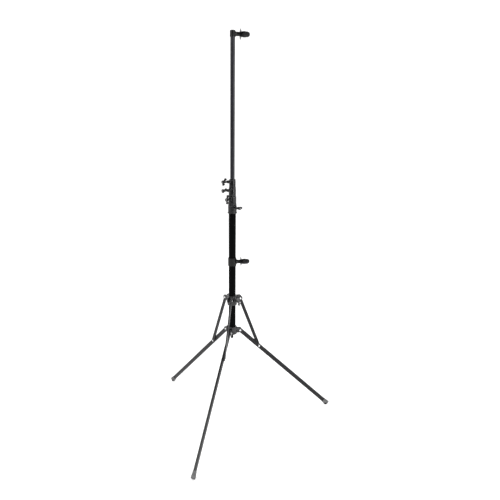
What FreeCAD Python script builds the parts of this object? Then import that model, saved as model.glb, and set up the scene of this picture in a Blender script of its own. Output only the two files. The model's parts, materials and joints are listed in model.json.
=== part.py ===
import FreeCAD, Part
import Sketcher
import math
import os

# A light background stand: a five-section telescopic column on a tripod whose three legs fold
# upwards around the column, with a swivelling spring clip on the top tube and a second clip
# that slides on the outer tube. Millimetres and degrees. Z is up, the origin is the point on
# the floor under the column, and the front leg points along -Y.

doc = FreeCAD.newDocument("BackgroundStand")
sheet = doc.addObject("Spreadsheet::Sheet", "Dimensions")

DRIVING_DIMENSIONS = {
    # column
    "column_foot": 344,
    "outer_tube_length": 475,
    "outer_tube_radius": 13,
    "tube_wall": 1,
    "tube_play": 0.25,
    "guide_play": 0.08,
    "pivot_play": 0.05,
    "top_tube_foot": 855,
    "top_tube_length": 560,
    "plug_head": 3,
    "plug_stem": 8,
    "stub_length": 15,
    "stub_radius": 4.8,
    # collars, screws and wing knobs
    "socket_depth": 16,
    "collar_height": 30.2,
    "collar_pitch": 30.5,
    "collar_wall": 2.6,
    "boss_reach": 19.5,
    "boss_radius": 5.5,
    "knob_drop": 8.9,
    "screw_radius": 2.5,
    "shoe_thickness": 1.6,
    "knob_gap": 0.4,
    "knob_length": 24,
    "knob_hub_radius": 5.5,
    "knob_neck_radius": 4,
    "knob_half_span": 15.2,
    "knob_thickness": 9,
    # legs and feet
    "leg_pivot_height": 356,
    "pivot_radius": 30,
    "leg_slope": 43.6,
    "leg_reach": 512,
    "leg_heel": 7,
    "leg_depth": 15.5,
    "leg_thickness": 7.8,
    "foot_length": 24,
    "foot_socket": 17,
    "foot_depth": 18.5,
    "foot_width": 11.2,
    # braces and rivets
    "brace_pin_distance": 105,
    "brace_length": 213,
    "brace_depth": 12.4,
    "brace_thickness": 4,
    "brace_play": 0.3,
    "pin_radius": 2.5,
    "rivet_head_radius": 3.8,
    "rivet_head_height": 1.1,
    # hubs
    "hub_radius": 18,
    "lower_hub_foot": 343,
    "lower_hub_height": 30,
    "lower_ear_wall": 3.4,
    "upper_hub_height": 36,
    "upper_hub_drop": 24,
    "upper_ear_wall": 2.6,
    "ear_play": 0.3,
    "leg_passage": 1.6,
    # clips
    "top_clip_height": 1407,
    "top_head_foot": 1397,
    "top_head_height": 21,
    "top_head_radius": 9.5,
    "lower_clip_height": 623.5,
    "clip_ring_height": 27,
    "clip_ring_radius": 15.5,
    "clip_liner_wall": 0.95,
    "top_clip_face": 25.2,
    "lower_clip_face": 30.7,
    "clip_neck_radius": 7,
    "clip_flange_radius": 17.8,
    "clip_grip_radius": 10.3,
    "clip_grip_length": 28,
    "clip_chamber_radius": 7.8,
    "clip_chamber_floor": 6,
    "clip_post_radius": 3.5,
    "clip_wire_radius": 0.7,
}

SECTIONS = ["outer", "second", "third", "fourth", "top"]
CLAMPED_SECTIONS = SECTIONS[:-1]

# Directions are turned about +Z from +X.
LEG_DIRECTIONS = {"front": -90, "right": 30, "left": 150}
# Seen from above, -1 is the clockwise side of a leg and 1 the anticlockwise side.
PIVOT_SIDES = (-1, 1)
KNOB_DIRECTIONS = {"outer": -30, "second": -104, "third": -132, "fourth": -132, "hub": -30}
KNOB_ROLLS = {"outer": 90, "second": -4, "third": -65, "fourth": -38, "hub": 18}
TOP_CLIP_DIRECTION = 26
LOWER_CLIP_DIRECTION = 24

Y_AXIS = FreeCAD.Vector(0, 1, 0)
X_AXIS = FreeCAD.Vector(1, 0, 0)
Z_AXIS = FreeCAD.Vector(0, 0, 1)
AT_ORIGIN = FreeCAD.Placement()


class Size:
    """A length with the sheet expression that gives it, so that sums stay tied to the sheet."""

    def __init__(self, value, text):
        self.value = value
        self.text = text

    def joined(self, sign, other, value):
        return Size(value, f"({self.text} {sign} {text_of(other)})")

    def __add__(self, other):
        return self.joined("+", other, self.value + value_of(other))

    def __sub__(self, other):
        return self.joined("-", other, self.value - value_of(other))

    def __mul__(self, other):
        return self.joined("*", other, self.value * value_of(other))

    def __truediv__(self, other):
        return self.joined("/", other, self.value / value_of(other))

    def __neg__(self):
        return Size(-self.value, f"(0 - {self.text})")


def value_of(number):
    return number.value if isinstance(number, Size) else float(number)


def text_of(number):
    return number.text if isinstance(number, Size) else repr(float(number))


def fill_sheet():
    for row, (alias, number) in enumerate(DRIVING_DIMENSIONS.items(), start=1):
        sheet.set(f"A{row}", alias.replace("_", " "))
        sheet.set(f"B{row}", str(number))
        sheet.setAlias(f"B{row}", alias)
    doc.recompute()


def size(alias):
    return Size(float(sheet.get(alias)), f"{sheet.Name}.{alias}")


# ---- frames ----

def turned_about(axis, angle):
    return FreeCAD.Placement(FreeCAD.Vector(), FreeCAD.Rotation(axis, angle))


def moved_to(across, along, up):
    point = FreeCAD.Vector(value_of(across), value_of(along), value_of(up))
    return FreeCAD.Placement(point, FreeCAD.Rotation())


def chain(*frames):
    """Placements applied one after the other, the last one innermost."""
    result = FreeCAD.Placement()
    for frame in frames:
        result = result.multiply(frame)
    return result


def side_frame(height, direction, roll=0):
    """A frame on the column axis whose Z points out sideways along direction."""
    return chain(turned_about(Z_AXIS, direction), moved_to(0, 0, height),
                 turned_about(Y_AXIS, 90), turned_about(Z_AXIS, roll))


def across_frame(across=0, up=0, side=1):
    """A frame whose Z runs along Y, to one side or the other."""
    return chain(moved_to(across, 0, up), turned_about(X_AXIS, -90 * side))


# ---- solids bound to the sheet ----

def bind(item, property_name, number):
    item.setExpression(property_name, text_of(number))


def cylinder(radius, foot, height):
    """An upright cylinder on the column axis."""
    item = doc.addObject("Part::Cylinder", "Cylinder")
    bind(item, "Radius", radius)
    bind(item, "Height", height)
    bind(item, "Placement.Base.z", foot)
    return item


def box(low, lengths):
    """A box from its low corner and its lengths along X, Y and Z."""
    item = doc.addObject("Part::Box", "Box")
    for property_name, length in zip(("Length", "Width", "Height"), lengths):
        bind(item, property_name, length)
    for letter, number in zip("xyz", low):
        bind(item, f"Placement.Base.{letter}", number)
    return item


def fuse(pieces):
    item = doc.addObject("Part::MultiFuse", "Fuse")
    item.Shapes = pieces
    item.Refine = True
    return item


def cut(base, tools):
    item = doc.addObject("Part::Cut", "Cut")
    item.Base = base
    item.Tool = tools[0] if len(tools) == 1 else fuse(tools)
    item.Refine = True
    return item


def outline_sketch(body, plane_role, corners, offset=0):
    """A closed outline on one of the body's origin planes.

    Each corner is (across, up), and may carry a third entry, a point that the next side
    passes through, which makes that side an arc.
    """
    sketch = body.newObject("Sketcher::SketchObject", "Outline")
    plane = next(feature for feature in body.Origin.OriginFeatures if feature.Role == plane_role)
    sketch.AttachmentSupport = [(plane, "")]
    sketch.MapMode = "FlatFace"
    sketch.AttachmentOffset = moved_to(0, 0, offset)
    points = [FreeCAD.Vector(value_of(corner[0]), value_of(corner[1]), 0) for corner in corners]
    starts = []
    for edge, corner in enumerate(corners):
        start = points[edge]
        end = points[(edge + 1) % len(points)]
        if len(corner) == 3:
            through = FreeCAD.Vector(value_of(corner[2][0]), value_of(corner[2][1]), 0)
            sketch.addGeometry(Part.Arc(start, through, end), False)
            starts.append(1 if (sketch.getPoint(edge, 1) - start).Length < 1e-6 else 2)
            to_centre = sketch.getPoint(edge, 3) - start
            if abs(end.y - start.y) > abs(end.x - start.x):
                centre = Sketcher.Constraint("DistanceX", edge, starts[edge], edge, 3, to_centre.x)
            else:
                centre = Sketcher.Constraint("DistanceY", edge, starts[edge], edge, 3, to_centre.y)
            sketch.addConstraint(centre)
        else:
            sketch.addGeometry(Part.LineSegment(start, end), False)
            starts.append(1)
    for edge, corner in enumerate(corners):
        after = (edge + 1) % len(corners)
        sketch.addConstraint(Sketcher.Constraint("Coincident", edge, 3 - starts[edge], after, starts[after]))
        for kind, number in zip(("DistanceX", "DistanceY"), corner):
            distance = Sketcher.Constraint(kind, -1, 1, edge, starts[edge], value_of(number))
            constraint = sketch.addConstraint(distance)
            if isinstance(number, Size):
                bind(sketch, f"Constraints[{constraint}]", number)
    return sketch


def turned(corners, frame=AT_ORIGIN):
    """A body of revolution about its own Z axis; each corner is (radius, height)."""
    body = doc.addObject("PartDesign::Body", "Turned")
    sketch = outline_sketch(body, "XZ_Plane", corners)
    revolution = body.newObject("PartDesign::Revolution", "Revolution")
    revolution.Profile = sketch
    revolution.ReferenceAxis = (sketch, ["V_Axis"])
    revolution.Angle = 360
    body.Tip = revolution
    body.Placement = frame
    return body


def rod(radius, start, end, frame=AT_ORIGIN):
    return turned([(0, start), (radius, start), (radius, end), (0, end)], frame)


def plate(corners, thickness, frame=AT_ORIGIN):
    """A flat plate with its outline in the XZ plane, centred on that plane."""
    body = doc.addObject("PartDesign::Body", "Plate")
    sketch = outline_sketch(body, "XZ_Plane", corners)
    pad = body.newObject("PartDesign::Pad", "Pad")
    pad.Profile = sketch
    pad.SideType = "Symmetric"
    bind(pad, "Length", thickness)
    body.Tip = pad
    body.Placement = frame
    return body


def bar(corners, start, length):
    """A bar along X from start, with its cross-section outline in the YZ plane."""
    body = doc.addObject("PartDesign::Body", "Bar")
    sketch = outline_sketch(body, "YZ_Plane", corners, start)
    pad = body.newObject("PartDesign::Pad", "Pad")
    pad.Profile = sketch
    bind(pad, "Length", length)
    body.Tip = pad
    return body


sub_parts = []


def finish_part(item, label, frame=None):
    """Name a finished sub-part, and put it in place when it was made in a frame of its own."""
    item.Label = label
    if frame is not None:
        item.Placement = frame
    sub_parts.append(item)


# ---- column ----

def tube_radius(section):
    step = size("tube_wall") + size("tube_play")
    return size("outer_tube_radius") - step * SECTIONS.index(section)


def guide_radius(section):
    """The bore in this section's collar that the next tube slides in."""
    return tube_radius(SECTIONS[SECTIONS.index(section) + 1]) + size("guide_play")


def collar_foot(section):
    lowest = size("column_foot") + size("outer_tube_length") - size("socket_depth")
    return lowest + size("collar_pitch") * SECTIONS.index(section)


def tube_foot(section):
    """A tube's lower end; the collapsed plugs stand on one another inside the outer tube."""
    if section == "outer":
        return size("column_foot")
    if section == "top":
        return size("top_tube_foot")
    plug_pitch = size("plug_head") + size("plug_stem") + 0.3
    return size("column_foot") + 4 + size("plug_head") + plug_pitch * (SECTIONS.index(section) - 1)


def tube_top(section):
    if section == "top":
        return size("top_tube_foot") + size("top_tube_length")
    return collar_foot(section) + size("socket_depth")


def make_tube(section):
    radius = tube_radius(section)
    foot = tube_foot(section)
    length = tube_top(section) - foot
    bore = cylinder(radius - size("tube_wall"), foot - 1, length + 2)
    finish_part(cut(cylinder(radius, foot, length), [bore]), f"{section}_tube")


def make_plug(section):
    """The plug in a tube's lower end: a guide that slides in the tube below, or the foot stub."""
    stem = tube_radius(section) - size("tube_wall")
    head = tube_radius(section)
    stem_length = Size(3.5, "3.5")
    if section != "outer":
        head = head + size("tube_play") - size("guide_play")
        stem_length = size("plug_stem")
    bottom = -size("plug_head")
    plug = turned([
        (0, bottom),
        (head - 0.6, bottom),
        (head, bottom + 0.6),
        (head, 0),
        (stem, 0),
        (stem, stem_length - 1),
        (stem - 1, stem_length),
        (0, stem_length),
    ])
    if section == "outer":
        stub = rod(size("stub_radius"), bottom - size("stub_length"), bottom + 1)
        plug = fuse([plug, stub])
    finish_part(plug, f"{section}_plug", moved_to(0, 0, tube_foot(section)))


def collar_shell(section):
    """A socket over this tube's end, then a guide bore for the next tube, with ridged ends."""
    own = tube_radius(section)
    guide = guide_radius(section)
    skin = own + size("collar_wall")
    rim = skin + (1.5 if section == "outer" else 0.5)
    height = size("collar_height")
    return turned([
        (own, 0),
        (rim - 0.6, 0),
        (rim, 0.6),
        (rim, 4.4),
        (rim - 0.6, 5),
        (skin - 0.5, 5),
        (skin - 0.5, 6.2),
        (skin, 6.8),
        (skin, height - 4.2),
        (skin - 0.5, height - 3.8),
        (skin - 0.5, height - 3),
        (skin, height - 2.6),
        (skin, height - 0.8),
        (skin - 0.8, height),
        (guide, height),
        (guide, size("socket_depth")),
        (own, size("socket_depth")),
    ])


def make_collar(section):
    knob_height = size("collar_height") - size("knob_drop")
    outwards = side_frame(knob_height, 0)
    skin = tube_radius(section) + size("collar_wall")
    boss = rod(size("boss_radius"), skin - 1.9, size("boss_reach"), outwards)
    hole = rod(size("screw_radius") + size("pivot_play"), 0, size("boss_reach") + 1, outwards)
    bore = cylinder(guide_radius(section), size("socket_depth"), size("collar_height"))
    collar = cut(fuse([collar_shell(section), boss]), [hole, bore])
    place = chain(moved_to(0, 0, collar_foot(section)), turned_about(Z_AXIS, KNOB_DIRECTIONS[section]))
    finish_part(collar, f"{section}_collar", place)


def wing_knob(start, screw_end):
    """A crescent wing on a narrow neck, with a round lobe in its middle and at each end."""
    neck = size("knob_neck_radius")
    middle = size("knob_hub_radius")
    end = start + size("knob_length")
    span = size("knob_half_span")
    hub = turned([
        (0, start),
        (neck, start),
        (neck, start + 8),
        (middle, start + 11),
        (middle, end - 2),
        (middle - 1.5, end),
        (0, end),
    ])
    wing = plate([
        (-neck, start + 10, (-span * 0.6, start + 8.5)),
        (-span, start + 3.5, (-span - 0.6, start + 8)),
        (-span + 3.5, start + 14.5, (-span * 0.45, start + 19.5)),
        (0, start + 21, (span * 0.45, start + 19.5)),
        (span - 3.5, start + 14.5, (span + 0.6, start + 8)),
        (span, start + 3.5, (span * 0.6, start + 8.5)),
        (neck, start + 10),
    ], size("knob_thickness"))
    return cut(fuse([hub, wing]), [rod(size("screw_radius"), start - 1, screw_end)])


def make_clamp(name, owner, guided_radius, reach, height):
    """The clamp on a boss: a brake shoe, its screw and the wing knob that drives it."""
    shoe_start = guided_radius + 0.15
    screw_start = shoe_start + size("shoe_thickness") + 0.1
    knob_start = reach + size("knob_gap")
    screw_end = knob_start + size("knob_length") * 0.6
    frame = side_frame(height, KNOB_DIRECTIONS[name], KNOB_ROLLS[name])
    shoe = rod(size("screw_radius") - 0.05, shoe_start, shoe_start + size("shoe_thickness"))
    finish_part(shoe, f"{owner}_brake_shoe", frame)
    screw = turned([
        (0, screw_start),
        (size("screw_radius") - 0.5, screw_start),
        (size("screw_radius"), screw_start + 0.5),
        (size("screw_radius"), screw_end),
        (0, screw_end),
    ])
    finish_part(screw, f"{owner}_screw", frame)
    finish_part(wing_knob(knob_start, screw_end), f"{owner}_knob", frame)


def make_column():
    for section in SECTIONS:
        make_tube(section)
        make_plug(section)
    for section in CLAMPED_SECTIONS:
        make_collar(section)
        height = collar_foot(section) + size("collar_height") - size("knob_drop")
        make_clamp(section, f"{section}_collar", guide_radius(section), size("boss_reach"), height)


# ---- tripod ----

def leg_frame(direction):
    """The frame on a leg's pivot, with X running down the leg."""
    return chain(turned_about(Z_AXIS, direction), moved_to(size("pivot_radius"), 0, size("leg_pivot_height")),
                 turned_about(Y_AXIS, value_of(size("leg_slope"))))


def brace_pin_point():
    """The leg's brace pin: its distance from the column axis and its height."""
    slope = math.radians(value_of(size("leg_slope")))
    across = size("pivot_radius") + size("brace_pin_distance") * math.cos(slope)
    up = size("leg_pivot_height") - size("brace_pin_distance") * math.sin(slope)
    return across, up


def brace_run_and_rise():
    """How far in and how far up a brace reaches, from its lower pin to the upper hub."""
    run = value_of(brace_pin_point()[0] - size("pivot_radius"))
    rise = math.sqrt(value_of(size("brace_length")) ** 2 - run ** 2)
    return run, rise


def upper_pivot_height():
    return brace_pin_point()[1] + brace_run_and_rise()[1]


def brace_frame(direction):
    """The frame on a brace's lower pin, with X running up the brace and Z away from the column."""
    across, up = brace_pin_point()
    run, rise = brace_run_and_rise()
    steepness = math.degrees(math.atan2(rise, run))
    return chain(turned_about(Z_AXIS, direction + 180), moved_to(-across, 0, up),
                 turned_about(Y_AXIS, -steepness))


def make_leg(name, direction):
    """A flat alloy bar with a shallow groove along each side."""
    depth = size("leg_depth") / 2
    width = size("leg_thickness") / 2
    groove_bottom = width - 0.9
    side = [
        (width - 1, -depth),
        (width, -depth + 1),
        (width, -3),
        (groove_bottom, -2.3),
        (groove_bottom, 2.3),
        (width, 3),
        (width, depth - 1),
        (width - 1, depth),
    ]
    other_side = [(-across, -up) for across, up in side]
    length = size("leg_heel") + size("leg_reach") - size("foot_length") + size("foot_socket")
    leg = bar(side + other_side, -size("leg_heel"), length)
    pivot_hole = rod(size("pin_radius") + size("pivot_play"), -10, 10, across_frame())
    pin_hole = rod(size("pin_radius"), -10, 10, across_frame(size("brace_pin_distance")))
    finish_part(cut(leg, [pivot_hole, pin_hole]), f"{name}_leg", leg_frame(direction))


def make_foot(name, direction):
    """A flared rubber cap on the leg's end, trimmed flat where it stands on the floor."""
    depth = size("leg_depth") / 2
    width = size("leg_thickness") / 2
    reach = size("leg_reach")
    start = reach - size("foot_length")
    block = plate([
        (start, -depth - 1),
        (start + 6, -depth - 1),
        (reach - 5, -size("foot_depth") / 2),
        (reach, -size("foot_depth") / 2),
        (reach, size("foot_depth") / 2),
        (reach - 5, size("foot_depth") / 2),
        (start + 6, depth + 1),
        (start, depth + 1),
    ], size("foot_width"))
    trims = []
    for side in (-90, 90):
        trims.append(plate([
            (start - 1, width + 0.9),
            (start + 6, width + 0.9),
            (reach - 5, size("foot_width") / 2),
            (reach + 1, size("foot_width") / 2),
            (reach + 1, size("foot_width")),
            (start - 1, size("foot_width")),
        ], size("foot_depth") * 2, turned_about(X_AXIS, side)))
    socket = box((start, -width, -depth), (size("foot_socket"), width * 2, depth * 2))
    cap = cut(block, trims + [socket])
    cap.Placement = leg_frame(direction)
    below_floor = box((-600, -600, -50), (1200, 1200, 50))
    finish_part(cut(cap, [below_floor]), f"{name}_foot")


def brace_offset():
    """How far a brace lies to the side of its leg, so that it folds flat beside the leg."""
    return size("leg_thickness") / 2 + size("brace_play") + size("brace_thickness") / 2


def make_brace(name, direction):
    """A flat strut beside its leg, rounded about its two pivots."""
    length = size("brace_length")
    half = size("brace_depth") / 2
    beside_leg = moved_to(0, -brace_offset(), 0)
    strut = plate([
        (0, -half),
        (length, -half, (length + half, 0)),
        (length, half),
        (0, half, (-half, 0)),
    ], size("brace_thickness"), beside_leg)
    holes = []
    for position in (0, length):
        radius = size("pin_radius") + size("pivot_play")
        holes.append(rod(radius, -15, 15, across_frame(position)))
    finish_part(cut(strut, holes), f"{name}_brace", brace_frame(direction))


def half_rivet(inner, outer, side, frame):
    """The part of a rivet on one side of the XZ plane: a shank and its domed head."""
    head_radius = size("rivet_head_radius")
    top = outer + size("rivet_head_height")
    return turned([
        (0, inner),
        (size("pin_radius"), inner),
        (size("pin_radius"), outer),
        (head_radius, outer),
        (head_radius, outer + 0.4),
        (head_radius - 1.4, top),
        (0, top),
    ], chain(frame, across_frame(side=side)))


def make_brace_pin(name, direction):
    """The rivet through a leg and the brace beside it."""
    across, up = brace_pin_point()
    frame = chain(turned_about(Z_AXIS, direction), moved_to(across, 0, up))
    leg_side = half_rivet(0, size("leg_thickness") / 2, -1, frame)
    brace_side = half_rivet(0, brace_offset() + size("brace_thickness") / 2 + 0.15, 1, frame)
    finish_part(fuse([leg_side, brace_side]), f"{name}_brace_pin")


def hub_ring(foot, height, bore):
    return turned([
        (bore, foot),
        (size("hub_radius") - 1, foot),
        (size("hub_radius"), foot + 1),
        (size("hub_radius"), foot + height - 1),
        (size("hub_radius") - 1, foot + height),
        (bore, foot + height),
    ])


def hub_ears(gaps, wall, low, high, reach, pivot_height):
    """Pairs of radial plates, rounded about the pivots, a gap to each side of each leg's plane."""
    pivot = size("pivot_radius")
    root = size("hub_radius") - 5
    ears = []
    for direction in LEG_DIRECTIONS.values():
        for side, gap in zip(PIVOT_SIDES, gaps):
            shift = value_of(gap + wall / 2) * side
            frame = chain(turned_about(Z_AXIS, direction), moved_to(0, shift, pivot_height))
            outline = [
                (root, low),
                (pivot, low, (pivot + reach, (low + high) / 2)),
                (pivot, high),
                (root, high),
            ]
            ears.append(plate(outline, wall, frame))
    return ears


def pivot_frames(height):
    """A frame on each hub pivot, with Y along the pin."""
    for direction in LEG_DIRECTIONS.values():
        yield chain(turned_about(Z_AXIS, direction), moved_to(size("pivot_radius"), 0, height))


def make_lower_hub():
    """The fixed hub: a ring pressed on the outer tube, with ears that hold the legs' pins."""
    height = size("leg_pivot_height")
    gap = size("leg_thickness") / 2 + size("ear_play")
    wall = size("lower_ear_wall")
    ring = hub_ring(size("lower_hub_foot"), size("lower_hub_height"), size("outer_tube_radius"))
    body = fuse([ring] + hub_ears((gap, gap), wall, -9, 9, 8.5, height))
    tools = [cylinder(size("outer_tube_radius"), size("lower_hub_foot") - 1, size("lower_hub_height") + 2)]
    pins = []
    for frame in pivot_frames(height):
        tools.append(rod(size("pin_radius"), -15, 15, chain(frame, across_frame())))
        pins += [half_rivet(0, gap + wall, side, frame) for side in PIVOT_SIDES]
    finish_part(cut(body, tools), "lower_hub")
    finish_part(fuse(pins), "leg_pivot_pins")


def make_upper_hub():
    """The sliding hub: a ring with a clamp knob, and ears that leave room for the folded legs."""
    height = upper_pivot_height()
    foot = height - size("upper_hub_drop")
    knob_height = foot + size("upper_hub_height") / 2
    reach = size("boss_reach") + 1.5
    leg_gap = size("leg_thickness") / 2 + size("leg_passage")
    brace_gap = brace_offset() + size("brace_thickness") / 2 + size("ear_play")
    gaps = (leg_gap, brace_gap)
    wall = size("upper_ear_wall")
    bore = size("outer_tube_radius") + size("guide_play")
    sideways = side_frame(knob_height, KNOB_DIRECTIONS["hub"])
    boss = rod(size("boss_radius"), size("hub_radius") - 2, reach, sideways)
    ring = hub_ring(foot, size("upper_hub_height"), bore)
    body = fuse([ring, boss] + hub_ears(gaps, wall, -9, 10.5, 8, height))
    tools = [
        cylinder(bore, foot - 1, size("upper_hub_height") + 2),
        rod(size("screw_radius") + size("pivot_play"), 0, reach + 1, sideways),
    ]
    rivets = []
    for frame in pivot_frames(height):
        tools.append(rod(size("pin_radius"), -15, 15, chain(frame, across_frame())))
        for side, gap in zip(PIVOT_SIDES, gaps):
            rivets.append(half_rivet(gap, gap + wall, side, frame))
    finish_part(cut(body, tools), "upper_hub")
    finish_part(fuse(rivets), "upper_hub_rivets")
    make_clamp("hub", "upper_hub", bore, reach, knob_height)


def make_tripod():
    make_lower_hub()
    make_upper_hub()
    for name, direction in LEG_DIRECTIONS.items():
        make_leg(name, direction)
        make_foot(name, direction)
        make_brace(name, direction)
        make_brace_pin(name, direction)


# ---- clips ----

def clip_neck(start, face):
    """The socket's arm: a cone that narrows to a round neck, whose end face is the fixed jaw."""
    neck = size("clip_neck_radius")
    return turned([
        (0, start),
        (neck + 2.2, start),
        (neck + 2.2, start + 2),
        (neck, start + 8),
        (neck, face - 2),
        (neck + 1.5, face - 1.2),
        (neck + 1.5, face),
        (0, face),
    ])


def nut_pocket(start):
    return start + 0.6


def make_clip_nut(name, start, frame):
    """A hexagonal nut held in the arm, which the post screws through."""
    hexagon = doc.addObject("Part::Prism", "Hexagon")
    bind(hexagon, "Circumradius", size("clip_post_radius") + 2.2)
    bind(hexagon, "Height", 4)
    bind(hexagon, "Placement.Base.z", nut_pocket(start))
    thread = rod(size("clip_post_radius") + size("pivot_play"), 0, start + 10)
    finish_part(cut(hexagon, [thread]), f"{name}_clip_nut", frame)


def clip_arm_holes(start, face, frame):
    """What the arm leaves open: the nut's pocket and the post's hole."""
    pocket_radius = size("clip_post_radius") + 2.3
    post_hole = rod(size("clip_post_radius") + size("pivot_play"), 0, face + 1, frame)
    return [rod(pocket_radius, 0, nut_pocket(start) + 4.1, frame), post_hole]


def make_clip_post(name, start, face, frame):
    """The post that carries the grip, and the domed cap that keeps the grip on it."""
    radius = size("clip_post_radius")
    end = face + size("clip_grip_length") + 1
    post = turned([
        (0, start),
        (radius - 1, start),
        (radius, start + 1),
        (radius, end),
        (0, end),
    ])
    finish_part(post, f"{name}_clip_post", frame)
    rim = size("clip_chamber_radius") - 0.2
    cap = turned([
        (radius, end - 4),
        (rim, end - 4),
        (rim, end),
        (rim - 0.8, end + 1.8),
        (rim - 2.8, end + 3.4),
        (rim - 5, end + 4),
        (0, end + 4),
        (0, end),
        (radius, end),
    ])
    finish_part(cap, f"{name}_clip_cap", frame)


def make_clip_grip(name, face, frame):
    """The sliding grip: a thin flange that is the moving jaw, and a hollow bulb to pull on."""
    start = face + 0.3
    end = face + size("clip_grip_length")
    floor = start + size("clip_chamber_floor")
    bulb = size("clip_grip_radius")
    bore = size("clip_post_radius") + size("pivot_play")
    chamber = size("clip_chamber_radius")
    grip = turned([
        (bore, start),
        (size("clip_flange_radius") - 0.6, start),
        (size("clip_flange_radius"), start + 0.7),
        (size("clip_flange_radius") - 1, start + 1.5),
        (bulb, start + 3.4),
        (bulb - 1.2, start + 5, (bulb - 0.4, start + 9)),
        (bulb, start + 13),
        (bulb, end - 6, (bulb - 0.5, end - 2)),
        (bulb - 1.6, end),
        (chamber, end),
        (chamber, floor),
        (bore, floor),
    ])
    finish_part(grip, f"{name}_clip_grip", frame)


def make_clip_spring(name, face, frame):
    """A coil around the post, between the grip's shoulder and the cap."""
    wire = size("clip_wire_radius")
    coils = 5
    start = face + size("clip_chamber_floor") + 1.3
    length = face + size("clip_grip_length") - 4.2 - start
    coil = size("clip_post_radius") + 2
    path = doc.addObject("Part::Helix", "SpringPath")
    bind(path, "Radius", coil)
    bind(path, "Pitch", (length - wire * 2) / coils)
    bind(path, "Height", length - wire * 2)
    section = doc.addObject("Part::Circle", "WireSection")
    bind(section, "Radius", wire)
    bind(section, "Placement.Base.x", coil)
    section.Placement.Rotation = FreeCAD.Rotation(X_AXIS, 90)
    spring = doc.addObject("Part::Sweep", "Spring")
    spring.Sections = [section]
    spring.Spine = (path, [])
    spring.Solid = True
    spring.Frenet = True
    finish_part(spring, f"{name}_clip_spring", chain(frame, moved_to(0, 0, start + wire)))


def make_clip_outer_parts(name, nut_start, post_start, face, frame):
    make_clip_nut(name, nut_start, frame)
    make_clip_post(name, post_start, face, frame)
    make_clip_grip(name, face, frame)
    make_clip_spring(name, face, frame)


def make_top_clip():
    """A socket that swivels on the top tube, closed at the top, with the clip on its arm."""
    foot = size("top_head_foot")
    height = size("top_head_height")
    tube = tube_radius("top")
    bore = tube + size("guide_play")
    socket = size("top_head_radius")
    frame = side_frame(size("top_clip_height"), TOP_CLIP_DIRECTION)
    shell = turned([
        (0, foot),
        (socket - 0.5, foot),
        (socket, foot + 0.5),
        (socket, foot + height - 1.2),
        (socket - 1.2, foot + height),
        (0, foot + height),
    ])
    face = size("top_clip_face")
    arm = clip_neck(Size(5, "5"), face)
    arm.Placement = frame
    tube_space = cylinder(bore, foot - 1, tube_top("top") + 0.1 - foot + 1)
    outside = Size(9, "9")
    finish_part(cut(fuse([shell, arm]), [tube_space] + clip_arm_holes(outside, face, frame)), "top_clip_head")
    make_clip_outer_parts("top", outside, bore + 0.1, face, frame)


def make_lower_clip():
    """A flanged liner that slides on the outer tube, and a ring that swivels on the liner."""
    height = size("lower_clip_height")
    half = size("clip_ring_height") / 2
    tube = size("outer_tube_radius") + size("guide_play")
    liner_skin = tube + size("clip_liner_wall")
    ring_bore = liner_skin + size("guide_play")
    outer = size("clip_ring_radius")
    frame = side_frame(height, LOWER_CLIP_DIRECTION)
    liner = turned([
        (tube, -half - 1),
        (outer - 0.4, -half - 1),
        (outer, -half - 0.6),
        (outer, -half),
        (liner_skin, -half),
        (liner_skin, half),
        (outer, half),
        (outer, half + 0.6),
        (outer - 0.4, half + 1),
        (tube, half + 1),
    ])
    finish_part(liner, "lower_clip_liner", moved_to(0, 0, height))
    ring = cylinder(outer, height - half + 0.1, half * 2 - 0.2)
    face = size("lower_clip_face")
    arm = clip_neck(Size(12, "12"), face)
    arm.Placement = frame
    bore = cylinder(ring_bore, height - half - 1, half * 2 + 2)
    finish_part(cut(fuse([ring, arm]), [bore] + clip_arm_holes(ring_bore, face, frame)), "lower_clip_ring")
    make_clip_outer_parts("lower", ring_bore, ring_bore + 0.1, face, frame)


# ---- the whole stand ----

def check_document():
    """Stop if any object failed, or if a sub-part has no valid shape."""
    for item in doc.Objects:
        if "Invalid" in item.State or "Error" in item.State:
            raise SystemExit(f"{item.Name} ({item.Label}) did not build: {item.State}")
    for item in sub_parts:
        if item.Shape.isNull() or not item.Shape.isValid() or not item.Shape.Solids:
            raise SystemExit(f"{item.Label} has no valid solid")


def write_sub_parts():
    os.makedirs("parts", exist_ok=True)
    for item in sub_parts:
        item.Shape.exportStep(f"parts/{item.Label}.step")


fill_sheet()
make_column()
make_tripod()
make_top_clip()
make_lower_clip()
doc.recompute()
check_document()
write_sub_parts()
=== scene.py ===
import json
import math

import bmesh
import bpy
from mathutils import Matrix, Vector


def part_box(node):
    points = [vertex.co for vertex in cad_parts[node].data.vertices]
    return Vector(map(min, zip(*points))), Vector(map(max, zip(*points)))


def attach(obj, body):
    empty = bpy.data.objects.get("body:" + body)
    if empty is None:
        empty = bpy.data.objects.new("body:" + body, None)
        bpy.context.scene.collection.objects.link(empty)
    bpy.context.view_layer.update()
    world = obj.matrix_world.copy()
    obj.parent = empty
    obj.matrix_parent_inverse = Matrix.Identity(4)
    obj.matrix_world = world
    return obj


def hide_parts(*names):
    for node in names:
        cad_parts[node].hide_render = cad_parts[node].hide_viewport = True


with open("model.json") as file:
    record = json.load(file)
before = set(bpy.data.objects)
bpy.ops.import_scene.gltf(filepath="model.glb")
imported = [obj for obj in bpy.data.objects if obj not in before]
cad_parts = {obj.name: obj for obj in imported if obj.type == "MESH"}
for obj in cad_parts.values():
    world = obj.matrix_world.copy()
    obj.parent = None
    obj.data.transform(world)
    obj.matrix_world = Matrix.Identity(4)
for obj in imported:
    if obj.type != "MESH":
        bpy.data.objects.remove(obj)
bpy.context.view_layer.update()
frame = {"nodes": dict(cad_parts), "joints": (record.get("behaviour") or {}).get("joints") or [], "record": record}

MM = 0.001
LEGS = ("front", "right", "left")
SECTIONS = ("outer", "second", "third", "fourth")
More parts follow.
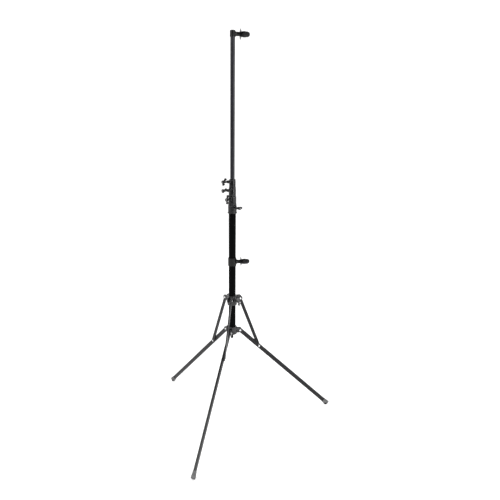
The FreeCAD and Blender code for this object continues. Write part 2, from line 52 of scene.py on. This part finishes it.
joints = {joint["name"]: joint for joint in frame["joints"]}


# ---- materials ----

# Bands of a noise texture's values: the wide one grades softly, the narrow one makes patches.
WIDE = 0.3, 0.7
PATCHY = 0.4, 0.6


class Shader:
    """A node material on the Principled surface, with short calls for the nodes used here."""

    def __init__(self, name, roughness=0.5, metallic=0.0):
        self.material = bpy.data.materials.new(name)
        self.material.use_nodes = True
        self.tree = self.material.node_tree
        self.surface = self.tree.nodes["Principled BSDF"]
        self.surface.inputs["Roughness"].default_value = roughness
        self.surface.inputs["Metallic"].default_value = metallic
        self.coordinates = self.add("ShaderNodeTexCoord").outputs["Object"]

    def add(self, kind, **settings):
        node = self.tree.nodes.new(kind)
        for key, value in settings.items():
            setattr(node, key, value)
        return node

    def link(self, source, target):
        self.tree.links.new(source, target)

    def set(self, name, value):
        socket = self.surface.inputs[name]
        if isinstance(value, bpy.types.NodeSocket):
            self.link(value, socket)
        else:
            socket.default_value = value

    def stretched(self, direction, factor):
        """Coordinates squeezed along a direction, so that a texture becomes long streaks."""
        mapping = self.add("ShaderNodeMapping")
        turn = Vector(direction).rotation_difference(Vector((0, 0, 1)))
        mapping.inputs["Rotation"].default_value = turn.to_euler()
        squeeze = self.add("ShaderNodeVectorMath", operation="MULTIPLY")
        squeeze.inputs[1].default_value = (1, 1, 1 / factor)
        self.link(self.coordinates, mapping.inputs["Vector"])
        self.link(mapping.outputs["Vector"], squeeze.inputs[0])
        return squeeze.outputs["Vector"]

    def noise(self, scale, detail=3, roughness=0.55, vector=None):
        node = self.add("ShaderNodeTexNoise")
        node.inputs["Scale"].default_value = scale
        node.inputs["Detail"].default_value = detail
        node.inputs["Roughness"].default_value = roughness
        self.link(vector or self.coordinates, node.inputs["Vector"])
        return node.outputs["Fac"]

    def cells(self, scale):
        node = self.add("ShaderNodeTexVoronoi")
        node.inputs["Scale"].default_value = scale
        self.link(self.coordinates, node.inputs["Vector"])
        return node.outputs["Distance"]

    def spread(self, source, low, high, start=0.35, end=0.65):
        """Map the middle of a texture's range onto low to high."""
        node = self.add("ShaderNodeMapRange")
        node.inputs["From Min"].default_value = start
        node.inputs["From Max"].default_value = end
        node.inputs["To Min"].default_value = low
        node.inputs["To Max"].default_value = high
        self.link(source, node.inputs["Value"])
        return node.outputs["Result"]

    def multiply(self, first, second):
        node = self.add("ShaderNodeMath", operation="MULTIPLY")
        self.link(first, node.inputs[0])
        self.link(second, node.inputs[1])
        return node.outputs["Value"]

    def blend(self, factor, first, second):
        """A colour between two, each a colour or another blend."""
        node = self.add("ShaderNodeMix", data_type="RGBA")
        self.link(factor, node.inputs["Factor"])
        for socket, colour in zip((node.inputs[6], node.inputs[7]), (first, second)):
            if isinstance(colour, bpy.types.NodeSocket):
                self.link(colour, socket)
            else:
                socket.default_value = (*colour, 1)
        return node.outputs[2]

    def height(self):
        """How high the shaded point is above the floor, in the object's own space."""
        split = self.add("ShaderNodeSeparateXYZ")
        self.link(self.coordinates, split.inputs["Vector"])
        return split.outputs["Z"]

    def edges(self, radius):
        """1 on edges and 0 on faces: how far a rounded normal turns from the true one."""
        bevel = self.add("ShaderNodeBevel", samples=4)
        bevel.inputs["Radius"].default_value = radius
        geometry = self.add("ShaderNodeNewGeometry")
        match = self.add("ShaderNodeVectorMath", operation="DOT_PRODUCT")
        self.link(bevel.outputs["Normal"], match.inputs[0])
        self.link(geometry.outputs["Normal"], match.inputs[1])
        return self.spread(match.outputs["Value"], 1, 0, 0.80, 0.985)

    def bump(self, height, distance, strength=1.0):
        node = self.add("ShaderNodeBump")
        node.inputs["Distance"].default_value = distance
        node.inputs["Strength"].default_value = strength
        self.link(height, node.inputs["Height"])
        self.set("Normal", node.outputs["Normal"])


def satin_metal(name, dark, light, roughness, direction=(0, 0, 1), edge=None, gloss=0.3):
    """Anodised or painted alloy: long drawing lines, faint blotches, rubbed edges."""
    shader = Shader(name, roughness)
    shader.set("Specular IOR Level", gloss)
    along = shader.stretched(direction, factor=60)
    lines = shader.noise(scale=900, detail=4, roughness=0.6, vector=along)
    blotches = shader.noise(scale=38, detail=4, roughness=0.6)
    colour = shader.blend(shader.spread(blotches, 0, 1, *WIDE), dark, light)
    if edge:
        worn = shader.spread(shader.noise(scale=260, detail=5), 0, 1, *PATCHY)
        rub = shader.multiply(shader.edges(radius=0.0007), worn)
        colour = shader.blend(rub, colour, edge)
    shader.set("Base Color", colour)
    shader.set("Roughness", shader.spread(lines, roughness - 0.05, roughness + 0.08, *WIDE))
    shader.bump(lines, distance=0.00003, strength=0.5)
    return shader.material


def powder_coat(name, dark, light, roughness, edge, gloss):
    """Sprayed cast alloy: a fine orange-peel skin, lighter where corners are rubbed."""
    shader = Shader(name, roughness)
    shader.set("Specular IOR Level", gloss)
    blotches = shader.noise(scale=55, detail=4)
    worn = shader.spread(shader.noise(scale=320, detail=5), 0.2, 1, *PATCHY)
    rub = shader.multiply(shader.edges(radius=0.0009), worn)
    colour = shader.blend(shader.spread(blotches, 0, 1, *WIDE), dark, light)
    shader.set("Base Color", shader.blend(rub, colour, edge))
    shader.set("Roughness", shader.spread(blotches, roughness - 0.06, roughness + 0.08, *WIDE))
    shader.bump(shader.noise(scale=1400, detail=3), distance=0.00008, strength=0.6)
    return shader.material


def moulded_plastic(name, dark, light, roughness, gloss=0.3):
    """Injection-moulded plastic with a fine pebble grain, and a painted sheen: edges lighter in colour, standing
    for the shine of polished edges.
    """
    shader = Shader(name, roughness)
    shader.set("Specular IOR Level", gloss)
    blotches = shader.noise(scale=70, detail=4)
    # Painted sheen: every edge is made lighter, to 2.2 times the light tone, to stand for the shine of polished
    # edges
    sheen_edges = shader.edges(radius=0.0008)
    painted_sheen = tuple(channel * 2.2 for channel in light)
    colour = shader.blend(shader.spread(blotches, 0, 1, *WIDE), dark, light)
    shader.set("Base Color", shader.blend(sheen_edges, colour, painted_sheen))
    shader.set("Roughness", shader.spread(blotches, roughness - 0.05, roughness + 0.07, *WIDE))
    shader.bump(shader.cells(scale=1600), distance=0.00006, strength=0.5)
    return shader.material


def bright_steel(name, dark, light, roughness):
    """Zinc-plated steel: light, with small smudges in its shine."""
    shader = Shader(name, roughness, metallic=1.0)
    smudges = shader.noise(scale=420, detail=5)
    shader.set("Base Color", shader.blend(shader.spread(smudges, 0, 1), dark, light))
    shader.set("Roughness", shader.spread(smudges, roughness - 0.08, roughness + 0.14, *WIDE))
    shader.bump(shader.noise(scale=2400, detail=2), distance=0.00003, strength=0.4)
    return shader.material


def foot_rubber(name, dark, light, sole, sole_height):
    """Grey rubber with a grainy skin, on a black sole that fades into it over a millimetre."""
    shader = Shader(name, roughness=0.7)
    shader.set("Specular IOR Level", 0.3)
    grain = shader.noise(scale=900, detail=4)
    scuffs = shader.spread(shader.noise(scale=160, detail=5), 0, 1, 0.4, 0.7)
    colour = shader.blend(scuffs, dark, light)
    half_fade = 0.5 * MM
    sole_band = sole_height - half_fade, sole_height + half_fade
    on_sole = shader.spread(shader.height(), 1, 0, *sole_band)
    shader.set("Base Color", shader.blend(on_sole, colour, sole))
    shader.set("Roughness", shader.spread(grain, 0.6, 0.82, *WIDE))
    shader.bump(grain, distance=0.0001, strength=0.7)
    return shader.material


def nodes_ending(*endings):
    return [name for name in frame["nodes"] if name.endswith(endings)]


def paint(nodes, material):
    for name in nodes:
        mesh = frame["nodes"][name].data
        mesh.materials.clear()
        mesh.materials.append(material)


def finish_frame():
    """Paint every CAD node, and add the finer pieces that stand for some of them."""
    black = satin_metal("black_tube", (0.0012, 0.0012, 0.0013), (0.0022, 0.0022, 0.0024),
                        0.36, gloss=0.02)
    charcoal = satin_metal("charcoal_tube", (0.007, 0.007, 0.010), (0.012, 0.012, 0.017),
                           0.26, gloss=0.35)
    collars = satin_metal("collar_metal", (0.0015, 0.0015, 0.002), (0.003, 0.003, 0.004),
                          0.16, edge=(0.30, 0.30, 0.31), gloss=0.45)
    cast = powder_coat("cast_hub", (0.004, 0.004, 0.005), (0.009, 0.009, 0.010),
                       0.22, edge=(0.28, 0.28, 0.29), gloss=0.5)
    plugs = moulded_plastic("plug_plastic", (0.002, 0.002, 0.002), (0.004, 0.004, 0.004),
                            0.5, gloss=0.1)
    nylon = moulded_plastic("nylon_shoe", (0.55, 0.55, 0.52), (0.65, 0.65, 0.61), 0.5)
    clip = moulded_plastic("clip_plastic", (0.0022, 0.0022, 0.0024), (0.004, 0.004, 0.0045),
                           0.3, gloss=0.25)
    knob = moulded_plastic("knob_plastic", (0.002, 0.002, 0.0022), (0.004, 0.004, 0.0045), 0.35)
    # Painted light: a paler, glossier copy of the knob plastic for the hub's lock knob, standing for the light
    # that falls on that knob
    painted_lit_knob = moulded_plastic("knob_plastic_painted_lit", (0.05, 0.05, 0.052), (0.09, 0.09, 0.092),
                                0.32, gloss=0.5)
    steel = bright_steel("zinc_steel", (0.62, 0.62, 0.64), (0.82, 0.82, 0.83), 0.24)
    rubber = foot_rubber("foot_rubber", (0.10, 0.10, 0.10), (0.15, 0.15, 0.15),
                         sole=(0.004, 0.004, 0.004), sole_height=6.5 * MM)

    paint([f"{section}_tube" for section in SECTIONS], black)
    paint(["top_tube"], charcoal)
    paint([f"{section}_collar" for section in SECTIONS], collars)
    paint(["upper_hub", "lower_hub"], cast)
    paint(nodes_ending("_plug"), plugs)
    paint(nodes_ending("_brake_shoe"), nylon)
    paint(nodes_ending("_screw", "_pin", "_pins", "_rivets", "_nut", "_post", "_spring"), steel)
    paint(nodes_ending("_knob"), knob)
    paint(nodes_ending("_foot"), rubber)
    paint(nodes_ending("_clip_head", "_clip_ring", "_clip_liner", "_clip_grip", "_clip_cap"), clip)
    for section in SECTIONS:
        make_knob(f"{section}_collar", f"{section}_knob_turn", knob, steel)
    # The hub's lock knob takes the paler knob plastic with its painted light
    make_knob("upper_hub", "hub_knob_turn", painted_lit_knob, steel)
    for which in ("top", "lower"):
        make_grip(which, clip)
    for leg in LEGS:
        make_foot(leg, rubber)
        knee = Vector(joints[f"{leg}_brace_swing"]["pos_m"])
        down_leg = knee - Vector(joints[f"{leg}_leg_fold"]["pos_m"])
        leg_metal = satin_metal(f"{leg}_leg_metal", (0.005, 0.005, 0.006), (0.010, 0.010, 0.011),
                                0.28, down_leg, edge=(0.16, 0.16, 0.17), gloss=0.25)
        brace_metal = satin_metal(f"{leg}_brace_metal", (0.006, 0.006, 0.007),
                                  (0.012, 0.012, 0.013), 0.28, edge=(0.2, 0.2, 0.21), gloss=0.25)
        paint([f"{leg}_leg"], leg_metal)
        paint([f"{leg}_brace"], brace_metal)


# ---- mesh pieces ----

def basis(place, along, across=None):
    """A frame at a point with Z along one direction and X as near as can be to another."""
    z_axis = Vector(along).normalized()
    hint = Vector(across) if across else z_axis.orthogonal()
    x_axis = (hint - z_axis * hint.dot(z_axis)).normalized()
    rotation = Matrix((x_axis, z_axis.cross(x_axis), z_axis)).transposed()
    return Matrix.Translation(place) @ rotation.to_4x4()


def add_piece(name, vertices, faces, place, material, body, node=None):
    """A smooth mesh piece that rides on a body, and stands for a CAD node if one is given."""
    mesh = bpy.data.meshes.new(name)
    mesh.from_pydata([place @ Vector(vertex) for vertex in vertices], [], faces)
    tidy = bmesh.new()
    tidy.from_mesh(mesh)
    bmesh.ops.remove_doubles(tidy, verts=tidy.verts, dist=1e-7)
    loose = [edge for edge in tidy.edges if not edge.link_faces]
    bmesh.ops.delete(tidy, geom=loose, context="EDGES")
    bmesh.ops.recalc_face_normals(tidy, faces=tidy.faces)
    tidy.to_mesh(mesh)
    tidy.free()
    mesh.polygons.foreach_set("use_smooth", [True] * len(mesh.polygons))
    mesh.set_sharp_from_angle(angle=math.radians(38))
    mesh.materials.append(material)
    piece = bpy.data.objects.new(name, mesh)
    bpy.context.collection.objects.link(piece)
    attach(piece, body)
    if node:
        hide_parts(node)
    return piece


def rings_to_faces(ring_count, points, closed_loop=False):
    faces = []
    for ring in range(ring_count if closed_loop else ring_count - 1):
        after = (ring + 1) % ring_count
        for point in range(points):
            beside = (point + 1) % points
            faces.append((ring * points + point, ring * points + beside,
                          after * points + beside, after * points + point))
    return faces


def rounded(profile, radius=0.0006, steps=4):
    """Round the corners of a closed (radius, height) profile, for a turned piece's soft edges."""
    result = []
    count = len(profile)
    for index, corner in enumerate(profile):
        here = Vector(corner)
        before = Vector(profile[index - 1]) - here
        after = Vector(profile[(index + 1) % count]) - here
        reach = min(radius, before.length * 0.45, after.length * 0.45)
        if corner[0] <= 1e-6 or reach < 1e-6:
            result.append(tuple(here))
            continue
        start = here + before.normalized() * reach
        end = here + after.normalized() * reach
        for step in range(steps + 1):
            share = step / steps
            point = start * (1 - share) ** 2 + here * 2 * share * (1 - share) + end * share ** 2
            result.append(tuple(point))
    return result


def lathe(name, profile, place, material, body, node=None, steps=64):
    """Turn a closed (radius, height) profile about the frame's Z axis."""
    vertices = []
    for step in range(steps):
        angle = 2 * math.pi * step / steps
        for radius, height in profile:
            vertices.append((radius * math.cos(angle), radius * math.sin(angle), height))
    faces = rings_to_faces(steps, len(profile), closed_loop=True)
    return add_piece(name, vertices, faces, place, material, body, node)


def along_axis(node, place, axis):
    """The lowest and highest distance of a CAD node's points from a place, along an axis."""
    vertices = frame["nodes"][node].data.vertices
    distances = [(Vector(vertex.co) - place).dot(axis) for vertex in vertices]
    return min(distances), max(distances)


def wing_direction(node, place, axis):
    """The direction, square to an axis, along which a CAD node is longest, and its reach."""
    side = axis.orthogonal().normalized()
    other = axis.cross(side)
    offsets = [Vector(vertex.co) - place for vertex in frame["nodes"][node].data.vertices]
    spread_along = sum(offset.dot(side) ** 2 - offset.dot(other) ** 2 for offset in offsets)
    spread_across = sum(2 * offset.dot(side) * offset.dot(other) for offset in offsets)
    angle = math.atan2(spread_across, spread_along) / 2
    wing = side * math.cos(angle) + other * math.sin(angle)
    return wing, max(abs(offset.dot(wing)) for offset in offsets)


def fused(parts, voxel):
    """Melt overlapping closed meshes, each (vertices, faces), into one smooth skin."""
    vertices, faces = [], []
    for part_vertices, part_faces in parts:
        first = len(vertices)
        vertices += part_vertices
        faces += [tuple(index + first for index in face) for face in part_faces]
    mesh = bpy.data.meshes.new("melt")
    mesh.from_pydata(vertices, [], faces)
    holder = bpy.data.objects.new("melt", mesh)
    bpy.context.collection.objects.link(holder)
    remesh = holder.modifiers.new("remesh", "REMESH")
    remesh.mode = "VOXEL"
    remesh.voxel_size = voxel
    relax = holder.modifiers.new("relax", "SMOOTH")
    relax.factor = 0.5
    relax.iterations = 4
    melted = holder.evaluated_get(bpy.context.evaluated_depsgraph_get()).to_mesh()
    skin = [tuple(vertex.co) for vertex in melted.vertices]
    skin_faces = [tuple(face.vertices) for face in melted.polygons]
    bpy.data.objects.remove(holder)
    return skin, skin_faces


def swept(stations, steps=24):
    """A closed tube through stations, each (centre, sideways axis, thick axis, two radii)."""
    vertices = []
    for centre, sideways, thick, side_radius, thick_radius in stations:
        for step in range(steps):
            angle = 2 * math.pi * step / steps
            across = sideways * (side_radius * math.cos(angle))
            offset = across + thick * (thick_radius * math.sin(angle))
            vertices.append(tuple(centre + offset))
    faces = rings_to_faces(len(stations), steps)
    faces.append(tuple(range(steps)))
    faces.append(tuple(reversed(range(len(vertices) - steps, len(vertices)))))
    return vertices, faces


def turned_solid(profile, steps=40):
    """A solid of revolution about Z, from an open (radius, height) profile, closed by flat ends."""
    vertices = []
    for radius, height in profile:
        for step in range(steps):
            angle = 2 * math.pi * step / steps
            vertices.append((radius * math.cos(angle), radius * math.sin(angle), height))
    faces = rings_to_faces(len(profile), steps)
    faces.append(tuple(reversed(range(steps))))
    faces.append(tuple(range(len(vertices) - steps, len(vertices))))
    return vertices, faces


# The wing bar of a knob. A share is a place along it: 0 is the middle, 1 and -1 are the ends.
BAR_RADIUS = 3.4 * MM
BAR_HEIGHT = 15.8 * MM
BAR_BEND = 6.2 * MM
BAR_FLATTENING = 0.86
LOBE_SHARE = 0.78
LOBE_TOP = 17.018 * MM


def crescent_stations(start, half_span):
    """The wing bar of a knob: it bends towards the stand and swells at its middle and ends."""
    lobe_swell, lobe_width = 0.0019, 0.17
    middle_swell, middle_width = 0.0017, 0.2
    tip_width = 0.2205
    count = 44
    stations = []
    for index in range(count + 1):
        share = -1 + 2 * index / count
        past_lobe = abs(share) - LOBE_SHARE
        swell = (lobe_swell * math.exp(-(past_lobe / lobe_width) ** 2)
                 + middle_swell * math.exp(-(share / middle_width) ** 2))
        radius = BAR_RADIUS + swell
        radius *= math.sqrt(1 - max(0.0, past_lobe / tip_width) ** 2)
        centre = Vector((half_span * share, 0, start + BAR_HEIGHT - BAR_BEND * share ** 2))
        slope = Vector((half_span, 0, -2 * BAR_BEND * share)).normalized()
        sideways = Vector((-slope.z, 0, slope.x))
        stations.append((centre, sideways, Vector((0, 1, 0)), radius, radius * BAR_FLATTENING))
    return stations


def make_knob(owner, joint_name, plastic, steel):
    """A glossy wing knob with three dished lobes and a steel pin through its middle."""
    joint = joints[joint_name]
    node = f"{owner}_knob"
    place = Vector(joint["pos_m"])
    axis = Vector(joint["axis"]).normalized()
    start, end = along_axis(node, place, axis)
    wing, half_span = wing_direction(node, place, axis)
    dish_depth, dish_reach = 1.1 * MM, 3 * MM
    top = end - 1.2 * MM
    neck = [
        (0.0032, start + 0.0001), (0.0041, start + 0.0008), (0.0041, start + 0.0030),
        (0.0035, start + 0.0038), (0.0035, start + 0.0078), (0.0044, start + 0.0100),
        (0.0054, start + 0.0140), (0.0056, top - 0.0018), (0.0050, top - 0.0005), (0.0036, top),
    ]
    voxel = 0.42 * MM
    bar = swept(crescent_stations(start, half_span))
    vertices, faces = fused([turned_solid(neck), bar], voxel)
    lobe = half_span * LOBE_SHARE
    lobe_top = start + LOBE_TOP
    dishes = [(0.0, top, 3.1 * MM), (-lobe, lobe_top, 3.2 * MM), (lobe, lobe_top, 3.2 * MM)]
    dished = []
    for x, y, z in vertices:
        for middle, surface, radius in dishes:
            distance = math.hypot(x - middle, y) / radius
            if distance < 1 and z > surface - dish_reach:
                z -= dish_depth * (1 - distance ** 2) ** 0.6
        dished.append((x, y, z))
    body = body_of_node(node)
    add_piece(node, dished, faces, basis(place, axis, wing), plastic, body, node)
    pin = rounded([(0, top - 0.0022), (0.0021, top - 0.0022), (0.0021, top - 0.0008),
                   (0.0012, top - 0.0002), (0, top - 0.0002)], radius=0.4 * MM)
    lathe(f"{node}_centre_pin", pin, basis(place, axis, wing), steel, body, steps=32)


def body_of_node(node):
    bodies = frame["record"]["behaviour"]["bodies"]
    return next(body for body, nodes in bodies.items() if node in nodes)


def make_grip(clip, plastic):
    """The clip's moving jaw: a thin flange and a ribbed hollow bulb, turned about the post."""
    node = f"{clip}_clip_grip"
    axis = Vector(joints[f"{clip}_clip_pull"]["axis"]).normalized()
    low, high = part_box(node)
    centre = (Vector(low) + Vector(high)) / 2
    place = Vector((0, 0, centre.z))
    start, end = along_axis(node, place, axis)
    bore, chamber = 0.0037, 0.0078
    flange, bulb = 0.0178, 0.0103
    floor = start + 0.0060
    flange_edge = flange - 0.0008
    outline = [(bore, start), (flange_edge, start), (flange, start + 0.0006),
               (flange_edge, start + 0.0013), (bulb + 0.002, start + 0.0024),
               (bulb - 0.0008, start + 0.0042)]
    ribs, rib_depth = 5, 0.0004
    belly_height, belly_drop = 0.0011, 0.0012
    ribs_start = start + 0.0052
    ribs_length = end - 0.0035 - ribs_start
    samples = ribs * 8
    for sample in range(samples + 1):
        share = sample / samples
        belly = belly_height * math.sin(math.pi * min(1, share * 1.1)) - belly_drop
        groove = rib_depth * math.cos(2 * math.pi * ribs * share)
        outline.append((bulb + belly - groove, ribs_start + ribs_length * share))
    dome_width, dome_height = 0.0022, 0.0030
    rim = bulb - 0.0030
    dome_steps = 6
    for step in range(1, dome_steps + 1):
        angle = math.pi / 2 * step / dome_steps
        outline.append((rim + dome_width * math.cos(angle),
                        end - dome_height + dome_height * math.sin(angle)))
    outline += [(chamber, end - 0.0002), (chamber, floor), (bore, floor)]
    lathe(node, outline, basis(place, axis, (0, 0, 1)), plastic, body_of_node(node), node, steps=72)


def rounded_rectangle(half_depth, half_width, corner, steps=5):
    points = []
    for quarter, (x_sign, y_sign) in enumerate(((1, 1), (-1, 1), (-1, -1), (1, -1))):
        for step in range(steps + 1):
            angle = math.pi / 2 * (quarter + step / steps)
            points.append((x_sign * (half_depth - corner) + corner * math.cos(angle),
                           y_sign * (half_width - corner) + corner * math.sin(angle)))
    return points


def make_foot(leg, rubber):
    """A flared rubber cap with moulded ribs, cut level where it meets the floor."""
    pivot = Vector(joints[f"{leg}_leg_fold"]["pos_m"])
    axis = Vector(joints[f"{leg}_leg_fold"]["axis"]).normalized()
    down_leg = (Vector(joints[f"{leg}_brace_swing"]["pos_m"]) - pivot).normalized()
    node = f"{leg}_foot"
    start, end = along_axis(node, pivot, down_leg)

    # Each station is (distance, half depth, half width) in millimetres, on a cap 24 mm long.
    drawn_length = 24
    ribs, rib_pitch, taper = 4, 2.6, 0.12
    stations = [(0.0, 8.45, 4.5), (0.4, 8.7, 4.75), (5.0, 8.75, 4.8)]
    for rib in range(ribs):
        rib_start = 6.2 + rib * rib_pitch
        grow = rib * taper
        stations += [(rib_start, 8.4 + grow, 4.55 + grow),
                     (rib_start + 0.8, 8.4 + grow, 4.55 + grow),
                     (rib_start + 1.1, 8.82 + grow, 4.95 + grow),
                     (rib_start + 2.3, 8.85 + grow, 5.0 + grow)]
    stations += [(19.0, 9.15, 5.5), (23.0, 9.24, 5.59), (23.7, 9.0, 5.4), (24.0, 8.4, 4.9)]
    corner = 1.6 * MM
    points = len(rounded_rectangle(1, 1, 0.1))
    vertices = []
    for distance, half_depth, half_width in stations:
        along = start + (end - start) * distance / drawn_length
        for x, y in rounded_rectangle(half_depth * MM, half_width * MM, corner):
            vertices.append((x, y, along))
    faces = rings_to_faces(len(stations), points)
    faces.append(tuple(reversed(range(points))))
    faces.append(tuple(range(len(vertices) - points, len(vertices))))

    place = basis(pivot, down_leg, axis.cross(down_leg))
    trimmed = bmesh.new()
    mesh = bpy.data.meshes.new("untrimmed")
    mesh.from_pydata([place @ Vector(vertex) for vertex in vertices], [], faces)
    trimmed.from_mesh(mesh)
    bpy.data.meshes.remove(mesh)
    everything = trimmed.verts[:] + trimmed.edges[:] + trimmed.faces[:]
    just_above_floor = (0, 0, 0.05 * MM)
    cut = bmesh.ops.bisect_plane(trimmed, geom=everything, plane_co=just_above_floor,
                                 plane_no=(0, 0, -1), clear_outer=True)
    edges = [item for item in cut["geom_cut"] if isinstance(item, bmesh.types.BMEdge)]
    bmesh.ops.holes_fill(trimmed, edges=edges)
    trimmed.verts.index_update()
    corners = [tuple(vertex.co) for vertex in trimmed.verts]
    sides = [tuple(vertex.index for vertex in face.verts) for face in trimmed.faces]
    trimmed.free()
    add_piece(node, corners, sides, Matrix.Identity(4), rubber, body_of_node(node), node)


# ---- stage, light and camera ----

# Metres, degrees and, for the lens and the sensor, millimetres. The azimuth is from the front
# leg towards the right leg, and the stage and the lights turn with it.
CAMERA_DISTANCE = 1.780
CAMERA_HEIGHT = 1.060
CAMERA_AZIMUTH = 18.06
CAMERA_YAW = 2.09
CAMERA_PITCH = 12.43
CAMERA_ROLL = 0.56
CAMERA_LENS = 35.84
CAMERA_SENSOR = 36


def make_stage():
    """A pale floor that sweeps up into a pale backdrop far behind the stand."""
    shader = Shader("pale_paper", roughness=0.8)
    blotches = shader.noise(scale=3, detail=3)
    shader.set("Base Color", shader.blend(blotches, (0.90, 0.90, 0.90), (0.93, 0.93, 0.93)))
    shader.set("Emission Color", (1, 1, 1, 1))
    shader.set("Emission Strength", 0.16)
    mesh = bpy.data.meshes.new("backdrop")
    floor = bpy.data.objects.new("backdrop", mesh)
    bpy.context.collection.objects.link(floor)
    half_width = 14.0
    front, back, top = -6.0, 5.0, 7.0
    bend, bend_steps = 2.0, 16
    below_feet = 0.5 * MM
    profile = [(front, 0.0)]
    for step in range(bend_steps + 1):
        angle = math.pi / 2 * step / bend_steps
        profile.append((back + bend * math.sin(angle), bend - bend * math.cos(angle)))
    profile.append((back + bend, top))
    vertices = []
    for along, up in profile:
        for side in (-half_width, half_width):
            vertices.append((side, along, up - below_feet))
    faces = [(2 * i, 2 * i + 1, 2 * i + 3, 2 * i + 2) for i in range(len(profile) - 1)]
    mesh.from_pydata(vertices, [], faces)
    mesh.polygons.foreach_set("use_smooth", [True] * len(faces))
    mesh.materials.append(shader.material)
    floor.rotation_euler.z = math.radians(CAMERA_AZIMUTH)


def make_camera():
    """The camera stands a little right of the front leg and looks slightly down."""
    azimuth = math.radians(CAMERA_AZIMUTH)
    heading = math.radians(CAMERA_YAW)
    pitch = math.radians(CAMERA_PITCH)
    to_row = Matrix.Rotation(azimuth, 3, "Z")
    forward = Vector((math.sin(heading) * math.cos(pitch), math.cos(heading) * math.cos(pitch),
                      -math.sin(pitch)))
    right = Vector((math.cos(heading), -math.sin(heading), 0))
    up = right.cross(forward)
    turn = Matrix.Rotation(-math.radians(CAMERA_ROLL), 3, forward)
    axes = Matrix((turn @ right, turn @ up, -forward)).transposed()
    camera_data = bpy.data.cameras.new("camera")
    camera_data.lens = CAMERA_LENS
    camera_data.sensor_width = CAMERA_SENSOR
    camera = bpy.data.objects.new("camera", camera_data)
    bpy.context.collection.objects.link(camera)
    place = to_row @ Vector((0, -CAMERA_DISTANCE, CAMERA_HEIGHT))
    camera.matrix_world = Matrix.Translation(place) @ (to_row @ axes).to_4x4()
    bpy.context.scene.camera = camera


def softbox(name, place, target, width, height, power):
    light = bpy.data.lights.new(name, "AREA")
    light.shape = "RECTANGLE"
    light.size = width
    light.size_y = height
    light.energy = power
    lamp = bpy.data.objects.new(name, light)
    bpy.context.collection.objects.link(lamp)
    lamp.location = place
    lamp.rotation_euler = (Vector(target) - Vector(place)).to_track_quat("-Z", "Y").to_euler()


def make_light():
    """Soft boxes in a pale room that shows dim in reflections, so that dark metal stays dark."""
    bpy.context.scene.view_settings.view_transform = "Standard"
    room_strength, reflected_strength = 1.0, 0.12
    world = bpy.data.worlds.new("studio")
    world.use_nodes = True
    nodes, links = world.node_tree.nodes, world.node_tree.links
    nodes["Background"].inputs["Color"].default_value = (1, 1, 1, 1)
    rays = nodes.new("ShaderNodeLightPath")
    strength = nodes.new("ShaderNodeMapRange")
    strength.inputs["To Min"].default_value = room_strength
    strength.inputs["To Max"].default_value = reflected_strength
    links.new(rays.outputs["Is Glossy Ray"], strength.inputs["Value"])
    links.new(strength.outputs["Result"], nodes["Background"].inputs["Strength"])
    bpy.context.scene.world = world
    turn = Matrix.Rotation(math.radians(CAMERA_AZIMUTH), 3, "Z")
    mid_stand = (0, 0, 0.7)
    softbox("key_light", turn @ Vector((-1.8, -2.0, 2.6)), mid_stand, 1.6, 1.6, power=40)
    softbox("fill_light", turn @ Vector((2.1, -1.8, 1.5)), mid_stand, 0.35, 2.2, power=34)
    softbox("back_light", turn @ Vector((0.4, 2.4, 3.0)), mid_stand, 2.4, 1.6, power=30)


finish_frame()
make_stage()
make_light()
make_camera()
